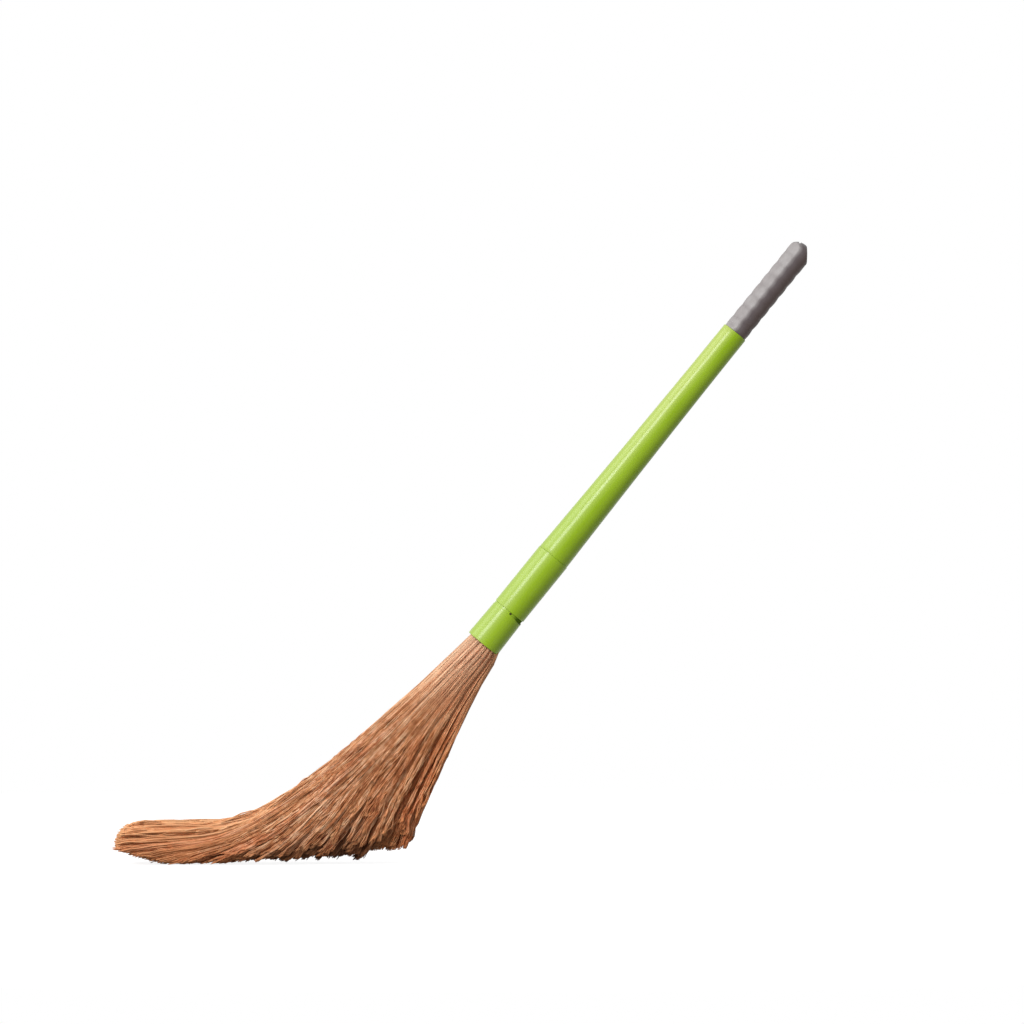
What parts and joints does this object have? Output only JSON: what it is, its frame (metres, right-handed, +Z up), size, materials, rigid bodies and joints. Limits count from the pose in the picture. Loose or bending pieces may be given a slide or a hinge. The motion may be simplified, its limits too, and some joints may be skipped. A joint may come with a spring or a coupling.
{
  "type": "yard broom",
  "caption": "Yard broom: a thick fan of long fibre bristles, swept into a tail, held in a collar on a tapered tube handle with a ringed hand grip.",
  "frame": {"origin": "on the ground, under the middle of the broom's box, with the broom leaning as it is held in use", "axes": "+X towards the side that the handle leans to, +Y across the fan, away from the viewer of the picture, +Z up"},
  "size_m": [0.7288, 0.0726, 0.6526],
  "materials": {
    "green_plastic": "glossy moulded lime green with fine scuffs",
    "grey_grip": "matte mottled grey",
    "plug_plastic": "plain moulded",
    "steel": "dull galvanised",
    "bristle_fibre": "dry brown fibre with paler frayed tips"
  },
  "bodies": {
    "root": {"bristle_collar": "green_plastic", "coupling_sleeve": "green_plastic", "handle_tube": "green_plastic", "grip": "grey_grip", "stop_plug": "plug_plastic", "binding_wire": "steel", "collar_pin_front": "steel", "collar_pin_back": "steel", "bristle_tuft_01": "bristle_fibre", "bristle_tuft_02": "bristle_fibre", "bristle_tuft_03": "bristle_fibre", "bristle_tuft_04": "bristle_fibre", "bristle_tuft_05": "bristle_fibre", "bristle_tuft_06": "bristle_fibre", "bristle_tuft_07": "bristle_fibre", "bristle_tuft_08": "bristle_fibre", "bristle_tuft_09": "bristle_fibre", "bristle_tuft_10": "bristle_fibre", "bristle_tuft_11": "bristle_fibre", "bristle_tuft_12": "bristle_fibre"}
  },
  "joints": []
}
